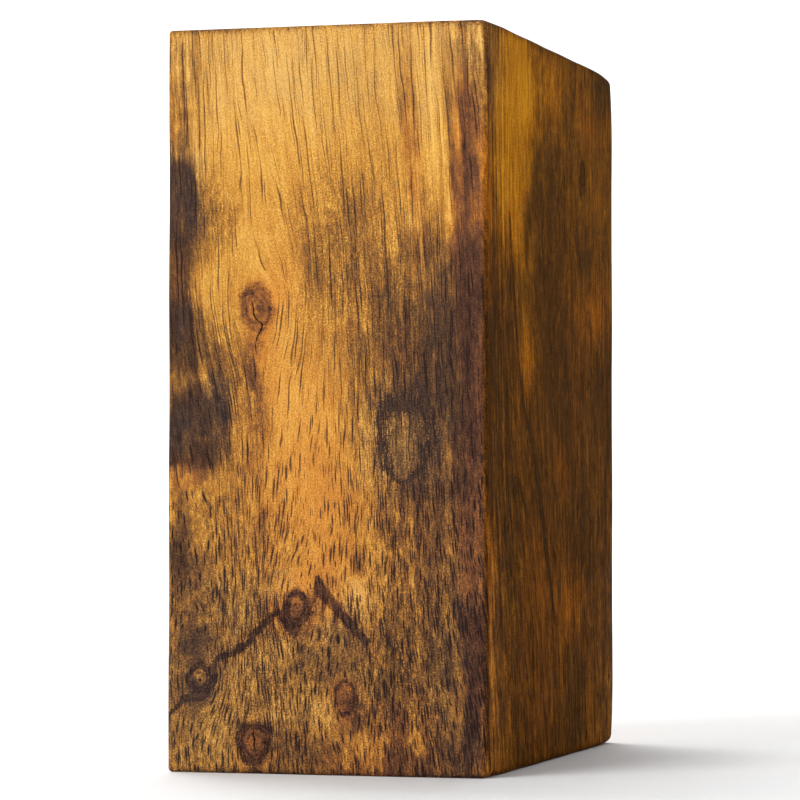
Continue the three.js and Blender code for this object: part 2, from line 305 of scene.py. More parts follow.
        (0, 0, 60, 90, 0, 0.2, 0.2, 0.6), (-22, -34, 7, 9, 0.2, 0.3, 0.3),
        (19, -20, 8, 24, 0.1, 0.26, 0.3), (20, 24, 9, 16, -0.2, 0.42), (-15, 4, 8, 14, 0.3, 0.24, 0.3),
        (-20, 33, 8, 9, 0, 0.4), (2, 12, 5, 8, -0.4, 0.16, 0.3),
    ],
    "bottom": [
        (0, 0, 60, 90, 0, 0.3, 0.2, 0.6), (-20, -14, 9, 20, 0.2, 0.26, 0.3),
        (16, -24, 10, 16, -0.2, 0.3, 0.3), (18, 26, 9, 14, 0, 0.3), (-12, 26, 7, 9, 0.3, 0.24, 0.3),
    ],
}

# Where the wood is redder, or with a negative amount less red.
RED = {
    "front": [
        (-24, 101, 1.6, 6, 0, 0.3), (-24.4, 77, 2.2, 6.5, 0, 0.6, 0.2, 6),
        (-22.5, 46, 3.0, 2.4, 0, 0.8), (13.4, 98, 1.5, 12, 0.06, 0.85),
        (22.8, 86, 2.4, 22, 0.06, 1.1, 0.2, 4), (24.0, 84, 3.0, 12, 0.08, 0.8, 0.2, 2.5),
        (24.0, 50, 3.0, 40, 0, 1.2, 0.2, 2.5), (15.5, 78, 1.4, 6, 0.06, 0.3),
        (-6.5, 75, 2.6, 4, 0, 0.5), (-4.6, 46, 9, 20, 0, 0.75, 0.3), (4, 36, 6, 10, 0, 0.4, 0.3),
        (-10.9, 66, 2.2, 5, 0, 0.5), (9, 4, 10, 7, 0, 0.8, 0.3), (-10.5, 5, 4, 4, 0, 0.5, 0.3),
        (16, 34, 4, 12, 0, 0.35, 0.3), (-4.0, 28.5, 5.0, 2.4, 0, 0.25), (3.4, 11.8, 3.0, 3.6, 0, 0.5),
        (-21.5, 67, 3, 4, 0, -0.35), (17, 54.5, 4, 2.6, 0, -0.4), (12, 66, 2, 8, 0, 0.3),
    ],
    "right": [
        (0, 45, 60, 50, 0, 0.65), (26, 104, 10, 4, 0, 0.5), (32, 72.5, 12, 6, 0, 0.4),
        (5.2, 46.4, 5, 4, 0, 0.6), (13, 25, 8, 6, 0, 0.6), (-10, 20, 10, 16, 0, 0.7),
        (12, 62, 8, 20, 0, 0.3), (-20, 74, 5, 8, 0, -0.5), (-24, 98, 14, 20, 0, -0.3),
    ],
    "back": [
        (-22, 80, 4, 26, 0, 0.5), (4, 56, 8, 18, 0, 0.4, 0.3), (21, 80, 3, 20, 0, 0.5),
        (8, 30, 8, 4, 0, 0.4),
    ],
    "left": [
        (8, 48, 9, 20, 0, 0.4, 0.3), (-24, 74, 7, 13, 0, 0.4), (35, 74, 5, 22, 0, 0.5),
        (-20, 30, 9, 5, 0, 0.4),
    ],
    "top": [(0, 0, 60, 90, 0, 0.25, 0.2, 3)],
    "bottom": [(0, 0, 60, 90, 0, 0.25, 0.2, 3)],
}

# Where the dark wood is blue-black rather than brown and the light wood paler. On the front
# that is a painted sheen: a pale band along the top and a blue-grey veil on the dark patches.
# With a negative amount the wood is deeper amber, a painted shade tint.
COOL_SHEEN_AND_SHADE = {
    "front": [
        # a painted sheen: the pale band along the top, then the blue-grey veil on the dark patches
        (-3, 110, 28, 8, 0, 0.7, 0.5), (22.5, 106, 3, 8, 0.06, 0.4, 0.3, 4),
        (-21, 9, 4.5, 9, 0, 0.5, 0.3), (-24.2, 89, 4.4, 6.5, 0, 0.9), (-23.3, 68.6, 1.4, 3.6, 0, 1.0),
        (-17.4, 55, 2.2, 5.0, 0, 0.9), (-23.6, 53, 3.0, 4.4, 0, 0.9), (12.5, 51, 6.5, 8.0, 0, 0.9),
        (17.6, 70, 2.6, 9, 0, 0.4), (-10, 17, 18, 14, 0, 0.45), (22, 14, 5, 16, 0, 0.4),
        (3.5, 24, 4, 5, 0, 0.4),
    ],
    # the whole right face deeper amber: a painted shade tint where no sheen falls
    "right": [(0, 57, 80, 110, 0, -1.0, 0.2, 0.6)],
    "back": [(-20, 80, 8, 30, 0, 0.6), (4, 20, 20, 16, 0, 0.6)],
    "left": [(0, 57, 80, 110, 0, -0.2, 0.2, 1.2)],
}

# Where the figure is drawn out in long streaks.
STREAK = {
    "front": [
        (-23.5, 103, 4.5, 15, 0, 0.75), (22.0, 106, 4.5, 16, 0.06, 1.0), (15, 92, 6, 16, 0, 0.35),
        (15, 60, 9, 24, 0, 0.45), (19, 16, 8, 20, 0, 0.45), (-21, 62, 5, 12, 0, 0.5),
    ],
    "right": [(-34, 57, 8, 70, 0, 0.9), (0, 57, 60, 80, 0, 0.15)],
    "back": [(-20, 80, 7, 30, 0, 0.7), (20, 70, 7, 40, 0, 0.7)],
    "left": [(-34, 70, 8, 50, 0, 0.7), (34, 70, 8, 50, 0, 0.7)],
}

# Where fine dark and gold specks mix.
MOTTLE = {
    "front": [
        (3, 79, 8.5, 13, 0, 0.9, 0.3), (13, 60, 8, 18, 0, 0.6, 0.25),
        (-15.5, 60, 6.5, 9, 0.2, 0.8, 0.3), (-19, 86, 3, 6, 0, 0.7, 0.3),
        (-16, 20, 14, 24, 0, 0.75, 0.2, 20), (4, 13, 14, 16, 0, 0.8, 0.2, 20),
        (16, 26, 11, 26, 0, 0.75, 0.2, 20),
    ],
    "right": [(0, 57, 60, 80, 0, 0.5)],
    "back": [(0, 16, 26, 22, 0, 0.7, 0.2, 20), (-4, 70, 10, 16, 0, 0.6)],
    "left": [(0, 16, 44, 22, 0, 0.7, 0.2, 20), (0, 74, 18, 22, 0, 0.6)],
    "top": [(0, 0, 60, 90, 0, 0.4, 0.2, 3)],
    "bottom": [(0, 0, 60, 90, 0, 0.4, 0.2, 3)],
}

# Dark lines on a face: points of [across, height, half width], and how dark they are.
Line = namedtuple("Line", "face points amount")
LINES = [
    # from the highest of the lower knots down to the left edge, round the knot on its way
    Line("front", [(-6.4, 24.9, 0.4), (-8.0, 24.4, 0.5), (-9.6, 23.3, 0.65), (-10.9, 21.7, 0.6),
                   (-12.6, 20.0, 0.6), (-14.6, 18.6, 0.6), (-16.6, 17.9, 0.5),
                   (-17.9, 16.7, 0.5), (-18.0, 14.8, 0.55), (-18.8, 12.8, 0.6),
                   (-20.3, 11.5, 0.6), (-22.2, 11.3, 0.5), (-23.7, 10.5, 0.45),
                   (-25.6, 8.2, 0.4)], 0.6),
    # under that highest knot, and the two lines that meet in a peak to its right
    Line("front", [(-6.7, 23.8, 0.5), (-5.8, 22.4, 0.7), (-4.7, 22.0, 0.8), (-3.2, 23.8, 0.5)], 0.6),
    Line("front", [(-2.6, 24.6, 0.4), (-1.9, 26.4, 0.4), (-1.2, 28.4, 0.4)], 0.4),
    Line("front", [(-1.4, 29.9, 0.4), (-0.9, 28.5, 0.8), (0.1, 27.3, 0.85), (1.4, 25.7, 0.9),
                   (3.1, 23.9, 0.9), (4.9, 22.1, 0.75), (6.6, 20.3, 0.5)], 0.75),
    # the ring-shaped mark at the right
    Line("front", [(10.4, 56.6, 1.5), (9.4, 55.6, 1.3), (9.1, 53.2, 1.3), (9.1, 50.4, 1.2),
                   (9.5, 47.8, 0.9), (10.5, 45.6, 0.6), (12.2, 44.6, 0.4), (14.4, 46.0, 0.6),
                   (15.9, 48.4, 1.0), (16.8, 51.4, 1.2), (16.8, 54.4, 1.4), (14.8, 56.3, 1.5),
                   (12.4, 55.8, 1.4), (10.4, 56.6, 1.5)], 0.4),
    # in and round the upper knot, and under the lowest one
    Line("front", [(-8.7, 71.2, 0.3), (-8.9, 69.6, 0.35), (-9.8, 68.9, 0.4), (-10.7, 67.2, 0.4),
                   (-11.2, 65.4, 0.3)], 0.3),
    Line("front", [(-12.9, 73.2, 0.3), (-11.9, 73.6, 0.4), (-10.8, 72.9, 0.3)], 0.3),
    Line("front", [(-12.3, 71.0, 0.3), (-11.3, 70.2, 0.35), (-10.8, 70.9, 0.25)], 0.24),
    Line("front", [(-13.3, 73.3, 0.6), (-11.4, 74.5, 0.7), (-9.4, 73.8, 0.6), (-8.6, 71.8, 0.5)],
         0.2),
    Line("front", [(-13.2, 2.2, 0.5), (-12.2, 1.2, 0.6), (-10.8, 0.2, 0.5)], 0.3),
    # down the wide side, and along its near edge
    Line("right", [(-28.1, 86, 0.5), (-25.6, 74, 0.7), (-22.8, 64, 0.8), (-18.9, 55.6, 0.9),
                   (-14.5, 51.4, 0.8), (-10.8, 44.5, 1.0), (-5.4, 34.5, 1.1), (0.1, 22.7, 0.8)],
         0.5),
    Line("right", [(-22.7, 45, 0.6), (-18.4, 40, 0.9), (-14.6, 35.4, 0.6)], 0.3),
    Line("right", [(-21.7, 25, 0.5), (-18, 15, 0.6), (-14.7, 6, 0.5)], 0.3),
    Line("right", [(-41, 74, 0.3), (-38.6, 60, 0.3), (-38.9, 30, 0.3), (-37.6, 0, 0.3)], 0.3),
    # from edge to knot to knot on the faces that are made up
    Line("back", [(-25.4, 21.6, 0.3), (-21, 25.2, 0.5), (-17.8, 25.0, 0.7), (-14.6, 28.8, 0.9),
                  (-11, 28.6, 0.7), (-8.2, 30.8, 0.5)], 0.5),
    Line("back", [(-4.2, 31.6, 0.4), (-2.2, 28.8, 0.6), (0.8, 27.4, 0.9), (2.4, 23.8, 0.8),
                  (6.6, 23.6, 0.6), (9.8, 20.2, 0.4), (12.8, 20.4, 0.3)], 0.5),
    Line("left", [(25.4, 22.2, 0.4), (20.6, 26.8, 0.7), (14, 27.2, 0.9), (7.6, 32.6, 0.8),
                  (0.6, 31.8, 0.5), (-6, 37.0, 0.6), (-12, 38.6, 0.4)], 0.46),
    Line("left", [(-16.6, 40.4, 0.4), (-21, 44.6, 0.7), (-27, 43.0, 0.9), (-33.4, 47.8, 0.6),
                  (-41.6, 46.8, 0.3)], 0.46),
]

# How far the borders of the patches wander finely, and broadly on the faces whose figure is
# made up. The broad waves are drawn out this many times across and upwards.
PATCH_WANDER = 0.5
BROAD_WANDER = {"front": 0.0, "right": 0.0, "back": 3.6, "left": 3.6, "top": 3.6, "bottom": 3.6}
BROAD_WAVES = (4.0, 7.0)
PATCH_SLANT = 0.6  # how much patches slant on their way into the wood
SLANT_WAVES = (8.0, 6.0)  # and how many times its waves are drawn out, upwards and inwards
PATCH_POWER = 2.6  # 2 is a true oval, and more is squarer
PATCH_END = 30.0  # this many soft borders away, a patch adds nothing

LINE_STEPS = 6  # a dark line is smoothed into this many pieces for each of its points
LINE_FLAT = 0.5  # a line is as strong at this depth as on the face
LINE_FINE = 1.6  # the mesh is finer within this distance of a dark line
LINE_HALO = 2.4  # the wood is redder within about this distance of it, and by how much
LINE_RED = 0.7
LINE_WANDER = 0.22  # how far a line wanders finely
LINE_CALM = 6.0  # and its broad wander is this many times less than a patch's

STAIN_LIMIT = 0.86  # patches and knots together stain the wood no more than this
# The walls of the checks and piths are darkened as a painted shade in these recesses.
WALL_SHADE_START = 0.1  # the walls of the checks and piths are dark from this depth
WALL_SHADE_BLEND = 0.3  # over this much more

# The sanded surface: how far it lies under the true block and how uneven that is, how far
# from the eased edges it starts, and how deep and how wide the groove along a knot's rim is.
SANDED = 0.03
SANDED_UNEVEN = 0.8
SANDED_FADE = 6.0
GROOVE = 0.08
GROOVE_WIDTH = 0.2
FLAT_WITHIN = 0.01  # points this near a true face are sanded with it
SHARP_ANGLE = 38.0

# Where each face lies on the sheet of the UV map, in millimetres, and the sheet's side.
ISLANDS = {
    "right": (2.0, 2.0), "left": (88.0, 2.0), "front": (174.0, 2.0),
    "back": (2.0, 119.0), "top": (56.0, 119.0), "bottom": (110.0, 119.0),
}
SHEET = 236.0

# The patterns in the wood: the widths of each across the grain both ways and along it, its
# detail and its roughness.
FIBRES = (0.28, 0.28, 7.0), 2.0, 0.6
STRIPES = (1.3, 1.3, 34.0), 3.0, 0.62
CLOUDS = (2.8, 2.8, 5.0), 3.0, 0.6
TICKS = (0.34, 0.34, 1.5), 2.0, 0.6
SPECKS = (0.25, 0.25, 0.25), 1.0, 0.6

# The middle tones of the stain break up most: where that starts, and where it ends.
BROKEN_FROM = (0.0, 0.3)
BROKEN_UNTIL = (1.1, 0.7)

# How much stain each pattern adds: in all wood, in broken tones, in streaks or in mottle.
GROUND_STAIN = 0.1
STRIPES_ALL, STRIPES_BROKEN, STRIPES_STREAKED = 0.16, 0.35, 0.9
CLOUDS_ALL, CLOUDS_BROKEN = 0.12, 0.55
FIBRES_ALL, FIBRES_MOTTLED = 0.3, -0.16
TICKS_BROKEN = 0.5
FINE_TICKS, FINE_SPECKS = 0.3, 0.95
FINE_ALL, FINE_MOTTLED = 0.55, 0.5

# The dark lines and the rims of the knots: what makes them ragged and how much, between
# which values a line's border and its reach lie, and how dark it is.
RAGGED_TICKS, RAGGED_SPECKS, RAGGED_CLOUDS = 0.5, 0.5, 0.3
LINE_RAGGED, RIM_RAGGED = 0.75, 1.5
LINE_EDGE = (0.08, 0.5)
LINE_REACH = (0.02, 0.1)
LINE_STAIN = 0.5
DARKEST, DARKEST_BLEND = 0.84, 0.2  # the soft limit of the stain under the fine grain

# The vessels: over what widths they drift and how far, over what widths they swell and how
# much, their least and greatest share of the usual bore, where their soft wall starts and
# ends in radii, and each kind's spacing, radius and strength.
VESSEL_DRIFT = (3.0, 3.0, 11.0)
VESSEL_DRIFT_SIZE = (1.7, 0.24, 0.0)
VESSEL_SWELL = (0.9, 0.9, 4.0)
VESSEL_UNEVEN = 0.24
VESSEL_BORES = (0.35, 1.45)
VESSEL_WALL = (1.4, 0.4)
VESSEL_KINDS = [(0.47, 0.09, 1.0), (0.36, 0.05, 0.55)]
PORE_STAIN = 0.37

# Low on the block the vessels are cut wider and look darker: between which heights that
# comes, and how much.
WIDER_BELOW, WIDER = (56.0, 30.0), 0.45
DARKER_BELOW, DARKER = (84.0, 44.0), 0.2

# The growth rings on the two ends: how near an end they show, where their middle lies, how
# wide they are, how much they wander, their detail and how dark they are.
END_GRAIN = (0.3, 0.05)
RING_CENTRE = (-70.0, 50.0, 0.0)
RING_WIDTH = 1.9
RING_WANDER = 1.2
RING_DETAIL = 2.0
RING_STAIN = 0.5

# Inside a knot: where it starts, and the turn, wander and stain of its rings.
KNOT_INSIDE = (1.0, 0.85)
KNOT_RING_TURN, KNOT_RING_WANDER, KNOT_RING_STAIN = 19.0, 12.0, 0.07

# How the stripes and clouds change how red the wood is and how much painted sheen it takes,
# between which values the cool, sheened wood starts, and between which it is too red for it.
RED_STRIPES, RED_CLOUDS = 1.0, 0.8
COOL_SHEEN_CLOUDS = 1.5
COOL_SHEEN_FROM = (0.0, 0.3)
COOL_SHEEN_UNTIL = (1.2, 0.3)

# The oiled surface: its roughness, what the vessels and specks add to it, how much its
# highlights show, and the relief of fibres and specks beside vessels of this depth.
ROUGHNESS, ROUGH_PORES, ROUGH_SPECKS = 0.5, 0.22, 0.12
GLOSS = 0.002
RELIEF_FIBRES, RELIEF_SPECKS = 0.35, 0.25
RELIEF_STRENGTH, RELIEF_DEPTH = 0.5, 0.05

# The stage in metres: the radius of an inner ring and of the whole flat floor, its bend and
# the steps of that, the height of its wall, the steps all round, and how near points are
# welded. Then its paper: how wide the blotches are, how rough and glossy it is, and its tints.
STAGE_RING = 0.35
STAGE_FLAT = 1.1
STAGE_BEND = 0.6
STAGE_BEND_STEPS = 14
STAGE_WALL = 2.0
STAGE_STEPS = 96
STAGE_WELD = 1e-5
PAPER_BLOTCHES = (0.4, 0.4, 0.4)
PAPER_ROUGHNESS, PAPER_GLOSS = 0.95, 0.05
STAGE_TINTS = [(0.0, (0.84, 0.84, 0.84)), (1.0, (0.88, 0.88, 0.88))]

# The soft boxes: a name, a place, what it is aimed at, its size and its power in watts; and
# the strength of the even light from all round.
SOFT_LIGHTS = [
    ("key_light", (-0.5, -0.85, 0.55), (0, 0, 0.06), (0.6, 0.6), 9.5),
    ("backdrop_light", (-0.5, 0.8, 1.5), (-0.5, 1.0, 0.0), (1.2, 1.2), 26.0),
]
SURROUND = 0.12

# The camera: its lens in millimetres, its place, the way it looks and its near and far limits.
LENS = 164.9
CAMERA_PLACE = (0.1684, -0.5742, 0.0436)
CAMERA_LOOK = (-0.2820, 0.9591, 0.0242)
CAMERA_CLIP = (0.02, 20.0)


# The shape of the block.

def edge_radius(points):
    """The radius of the eased edges near each point, which is centred on the block."""
    turned = 2 * math.pi / WANDER_LENGTH * points
    wander = sum(size * np.sin(turned @ np.array(way) + start) for way, start, size in EDGE_WAVES)
    radius = EDGE_RADIUS + EDGE_WANDER * wander
    for corner, extra, reach in SOFT_CORNERS:
        gap = np.linalg.norm(points - np.array(corner) * HALF, axis=1)
        radius += extra * np.exp(-((gap / reach) ** 2))
    return np.minimum(radius, EDGE_LINES[-1])


def line_places(axis):
    """Where the lines of the mesh lie along an axis, from its low side to its high side."""
    near = np.array(EDGE_LINES)
    inner = HALF[axis] - near[-1]
    middle = np.linspace(-inner, inner, FACE_CELLS[axis] + 1)[1:-1]
    return np.concatenate([near - HALF[axis], middle, (HALF[axis] - near)[::-1]])


def sawn_box():
    """A box cut into cells, its lines closer together near the edges."""
    bm = bmesh.new()
    bmesh.ops.create_cube(bm, size=1.0)
    lines = [line_places(axis) for axis in range(3)]
    for axis in range(3):
        along = [e for e in bm.edges if abs((e.verts[0].co - e.verts[1].co)[axis]) > 0.5]
        bmesh.ops.subdivide_edges(bm, edges=along, cuts=len(lines[axis]) - 2, use_grid_fill=True)
    even = np.array([vert.co for vert in bm.verts])
    places = np.empty_like(even)
    for axis in range(3):
        index = np.rint((even[:, axis] + 0.5) * (len(lines[axis]) - 1)).astype(int)
        places[:, axis] = lines[axis][index]
    return bm, places


def eased(places):
    """The points of the box with every edge and corner rounded by its own radius."""
    radius = edge_radius(places)[:, None]
    inner = np.clip(places, radius - HALF, HALF - radius)
    away = places - inner
    length = np.linalg.norm(away, axis=1, keepdims=True)
    return inner + away * np.where(length > 0, radius / np.maximum(length, NEAR_ZERO), 0)


def on_face(face, points):
    """Each point as it lies on a face: how far across, how high, and how deep under it."""
    place = FACES[face]
    across = points[:, place.across]
    up = points[:, place.up] + (HALF[2] if place.up == 2 else 0.0)
    return across, up, HALF[place.out] - place.side * points[:, place.out]


def from_face(face, across, up, proud):
    """The point that lies at a place on a face, and this far out of it."""
    place = FACES[face]
    point = Vector((0.0, 0.0, 0.0))
    point[place.across] = across
    point[place.up] = up - (HALF[2] if place.up == 2 else 0.0)
    point[place.out] = place.side * (HALF[place.out] + proud)
    return point


def smooth_path(path, steps):
    """Points along an even Catmull-Rom curve through the path."""
    path = np.array(path, dtype=float)
    last = len(path) - 1
    points = []
    for step in range(steps + 1):
        along = step / steps * last
        start = min(int(along), last - 1)
        part = along - start
        before, here = path[max(start - 1, 0)], path[start]
        there, after = path[start + 1], path[min(start + 2, last)]
        leave, arrive = (there - before) / 2, (after - here) / 2
        points.append((2 * here - 2 * there + leave + arrive) * part ** 3
                      + (3 * there - 3 * here - 2 * leave - arrive) * part ** 2
                      + leave * part + here)
    return points


def check_halves(check):
    """Half the opening at each step along a check: widest at its middle, with ragged lips."""
    halves = []
    for step in range(CHECK_STEPS + 1):
        swell = math.sin(math.pi * (step + 1) / (CHECK_STEPS + 2)) ** CHECK_BLUNT
        ragged = 1 - CHECK_RAGGED * (1 + math.sin(RAGGED_TURN * step)) / 2
        halves.append(check.opening / 2 * swell * ragged)
    return halves


def check_cutter(bm, check):
    """A wedge along the path of a check, which narrows into the wood."""
    rows = list(zip(smooth_path(check.path, CHECK_STEPS), check_halves(check)))
    outline = [(x + half, y, x) for (x, y), half in rows]
    outline += [(x - half, y, x) for (x, y), half in reversed(rows)]
    mouth = [bm.verts.new(from_face(check.face, x, y, CUTTER_PROUD)) for x, y, _ in outline]
    lid = bm.faces.new(mouth)
    grown = bmesh.ops.extrude_face_region(bm, geom=[lid])["geom"]
    floor = [vert for vert in grown if isinstance(vert, bmesh.types.BMVert)]
    place = FACES[check.face]
    for vert in floor:
        height = vert.co[place.up] + HALF[2]
        x, _, row = min(outline, key=lambda item: (abs(item[1] - height) > SAME_HEIGHT,
                                                   abs(item[0] - vert.co[place.across])))
        vert.co = from_face(check.face, row + (x - row) * CUTTER_FLOOR, height, -check.depth)


def pith_cutter(bm, pith):
    """A cone that cuts one pith, its tip in the wood."""
    length = pith.depth + CUTTER_PROUD
    place = FACES[pith.face]
    inwards = Vector((0.0, 0.0, 0.0))
    inwards[place.out] = -place.side
    turn = inwards.to_track_quat("Z", "Y").to_matrix().to_4x4()
    middle = from_face(pith.face, *pith.at, CUTTER_PROUD - length / 2)
    bmesh.ops.create_cone(bm, cap_ends=True, segments=PITH_SIDES, depth=length,
                          radius1=pith.radius * length / pith.depth, radius2=0.0,
                          matrix=Matrix.Translation(middle) @ turn)


def cutters():
    """All the cutters of the checks and piths as one closed mesh."""
    bm = bmesh.new()
    for check in CHECKS:
        check_cutter(bm, check)
    for pith in PITHS:
        pith_cutter(bm, pith)
    bmesh.ops.recalc_face_normals(bm, faces=bm.faces)
    return mesh_object("block_cutters", bm)


def mesh_object(name, bm):
    """An object in the scene made from a bmesh, which is freed."""
    mesh = bpy.data.meshes.new(name)
    bm.to_mesh(mesh)
    bm.free()
    made = bpy.data.objects.new(name, mesh)
    bpy.context.scene.collection.objects.link(made)
    return made


def refine(bm):
    """Halves the cells near the knots and the dark lines of the figure."""
    middles = np.array([face.calc_center_median() for face in bm.faces])
    near = np.zeros(len(middles), dtype=bool)
    for knot in KNOTS:
        near |= knot_ring(knot, middles, 0.0) < FINE_REACH * (knot_depth(knot, middles) < SKIN)
    for line in LINES:
        near |= line_gap(line, middles)[0] < LINE_FINE
    chosen = {edge for face, close in zip(bm.faces, near) if close for edge in face.edges}
    bmesh.ops.subdivide_edges(bm, edges=list(chosen), cuts=1, use_grid_fill=True)


def cut_open(block):
    """Cuts the checks and piths into the block."""
    tool = cutters()
    cut = block.modifiers.new("open_checks", "BOOLEAN")
    cut.operation = "DIFFERENCE"
    cut.solver = "EXACT"
    cut.object = tool
    bpy.context.view_layer.update()
    shape = block.evaluated_get(bpy.context.evaluated_depsgraph_get())
    opened = bpy.data.meshes.new_from_object(shape)
    block.modifiers.clear()
    block.data = opened
    bpy.data.objects.remove(tool)


# The figure of the wood, worked out at each point of the mesh.

def wavy(first, second, seed):
    """A smooth uneven pattern of about -1 to 1, with waves 3 to 8 mm long."""
    waves = [(0.75, 0.41, 1.0), (-1.13, 0.67, 0.6), (0.57, -1.32, 0.5), (1.87, 1.01, 0.35)]
    total = np.zeros_like(first)
    for i, (a, b, size) in enumerate(waves):
        total += size * np.sin(a * first + b * second + seed * (1.7 + i))
    return total / 2.0


def knot_depth(knot, points):
    """How deep each point is under the knot's face."""
    return on_face(knot.face, points)[2]


def knot_ring(knot, points, rough=KNOT_ROUGH):
    """How far out each point is from the knot's middle: 1 on its rim."""
    across, up, _ = on_face(knot.face, points)
    aside = (across - knot.at[0]) / knot.half[0]
    rise = (up - knot.at[1]) / knot.half[1]
    around = np.arctan2(rise, aside)
    seed = knot.at[0] + 2 * knot.at[1]
    uneven = sum(size * np.sin(turns * around + shift * seed) for turns, shift, size in KNOT_LOBES)
    return np.hypot(aside, rise) * (1 + rough * uneven)


def line_gap(line, points):
    """How far each point is from a dark line, and the half width of the line there."""
    across, up, depth = on_face(line.face, points)
    broad = BROAD_WANDER[line.face] / LINE_CALM
    aside = LINE_WANDER * wavy(2 * across, 2 * up, seed=4)
    aside += broad * wavy(across / 3, up / 2, seed=9)
    rise = LINE_WANDER * wavy(2 * up, 2 * across, seed=7)
    rise += broad * wavy(up / 2, across / 2, seed=12)
    across, up = across + aside, up + rise
    path = smooth_path(line.points, LINE_STEPS * len(line.points))
    gap = np.full(len(points), np.inf)
    half = np.ones(len(points))
    for (x0, y0, half0), (x1, y1, half1) in zip(path, path[1:]):
        run = np.array([x1 - x0, y1 - y0])
        part = ((across - x0) * run[0] + (up - y0) * run[1]) / max(run @ run, NEAR_ZERO)
        part = np.clip(part, 0, 1)
        here = np.hypot(across - x0 - part * run[0], up - y0 - part * run[1])
        closer = here < gap
        gap = np.where(closer, here, gap)
        half = np.where(closer, half0 + part * (half1 - half0), half)
    return np.hypot(gap, np.maximum(depth - LINE_FLAT, 0)), half


def wandered(face, across, up, seed):
    """Places on a face moved a little, so that the borders of its patches wander."""
    broad = BROAD_WANDER[face]
    wide, tall = across / BROAD_WAVES[0], up / BROAD_WAVES[1]
    aside = PATCH_WANDER * wavy(across, up / 2, seed) + broad * wavy(wide, tall, seed + 5)
    rise = PATCH_WANDER * wavy(up / 2, across, seed + 3) + broad * wavy(tall, wide, seed + 8)
    return across + aside, up + 2 * rise


def patch_sum(kind, points, seed):
    """The sum of a kind of patches at each point."""
    total = np.zeros(len(points))
    for face, rows in kind.items():
        across, up, depth = on_face(face, points)
        across, up = wandered(face, across, up, seed)
        inwards = np.maximum(depth, 0)
        slant = wavy(up / SLANT_WAVES[0], inwards / SLANT_WAVES[1], seed + 6)
        up = up + PATCH_SLANT * inwards * slant
        for row in rows:
            patch = Patch(*row)
            rise = up - patch.height
            aside = across - patch.across + patch.lean * rise
            reach = (np.abs(aside / patch.half_width) ** PATCH_POWER
                     + np.abs(rise / patch.half_height) ** PATCH_POWER) ** (1 / PATCH_POWER)
            outside = np.clip((reach - 1) / patch.soft, -PATCH_END, PATCH_END)
            deep = patch.depth or PATCH_DEPTH[face]
            total += patch.amount / (1 + np.exp(outside)) * np.exp(-(inwards / deep) ** 2)
    return total


def grain_places(points):
    """Coordinates that run with the grain: across it both ways, and along it."""
    height = points[:, 2] + HALF[2]
    sideways = [points[:, 0] + GRAIN_SLOPE * height, points[:, 1] + DIVE_TOP * height]
    below = (DIVE_HEIGHT - height) / DIVE_BLEND
    sideways[1] -= DIVE_BELOW * DIVE_BLEND * np.logaddexp(0, below)
    for lean in LEANS:
        across, up, depth = on_face(lean.face, points)
        beside = np.exp(-((across - lean.across) / lean.half_width) ** 2)
        beside *= np.exp(-(depth / KNOT_DEPTH) ** 2)
        bend = np.tanh((up - lean.height) / lean.half_height) * lean.half_height
        sideways[FACES[lean.face].across] += lean.slope * beside * bend
    for knot in KNOTS:
        across, up, depth = on_face(knot.face, points)
        aside, rise = across - knot.at[0], (up - knot.at[1]) / KNOT_STRETCH
        gap = aside ** 2 + rise ** 2
        fade = np.exp(-(depth / KNOT_DEPTH) ** 2 - gap / (KNOT_REACH * knot.push) ** 2)
        sideways[FACES[knot.face].across] -= aside * knot.push ** 2 / (gap + knot.push ** 2) * fade
    return np.stack([sideways[0], sideways[1], height], axis=1)


def buried(points):
    """How deep each point is under the eased surface."""
    radius = edge_radius(points)[:, None]
    inner = np.clip(points, radius - HALF, HALF - radius)
    away = np.linalg.norm(points - inner, axis=1)
    within = np.min(HALF - radius - np.abs(points), axis=1)
    return radius[:, 0] - away + np.maximum(within, 0)


def grain_spread(points):
    """How much the grain is spread or crowded round the knots: 1 where it runs straight."""
    here = grain_places(points)
    spread = np.full(len(points), np.inf)
    for axis in (0, 1):
        moved = points.copy()
        moved[:, axis] += SPREAD_STEP
        spread = np.minimum(spread, (grain_places(moved) - here)[:, axis] / SPREAD_STEP)
    return np.clip(spread, *SPREAD_RANGE)


def figure(points):
    """The fields of the figure at each point, by name."""
    fields = {name: patch_sum(kind, points, seed) for seed, (name, kind) in enumerate(
        [("stain", STAIN), ("red", RED), ("cool", COOL_SHEEN_AND_SHADE), ("streak", STREAK), ("mottle", MOTTLE)])}
    fields["line"], fields["rim"] = np.zeros(len(points)), np.zeros(len(points))
    ring = np.full(len(points), KNOT_FAR)
    for knot in KNOTS:
        here = knot_ring(knot, points)
        on = np.exp(-(np.maximum(knot_depth(knot, points), 0) / KNOT_MARK_DEPTH) ** 2)
        inside = on / (1 + np.exp((here - 1) / KNOT_BORDER))
        fields["stain"] += knot.fill * inside
        fields["red"] += knot.red * inside
        fields["rim"] += knot.rim * on * np.exp(-((here - 1) / knot.rim_width) ** 2)
        ring = np.where(on > 0.5, np.minimum(ring, here), ring)
    for line in LINES:
        gap, half = line_gap(line, points)
        fields["line"] += line.amount * np.exp(-(gap / half) ** 2)
        fields["red"] += LINE_RED * line.amount * np.exp(-(gap / LINE_HALO) ** 2)
    fields["stain"] = STAIN_LIMIT * np.tanh(fields["stain"] / STAIN_LIMIT)
    # painted shade: the walls of the checks and piths darken with depth
    fields["stain"] += np.clip((buried(points) - WALL_SHADE_START) / WALL_SHADE_BLEND, 0, 1)
    fields["ring"] = ring
    return fields


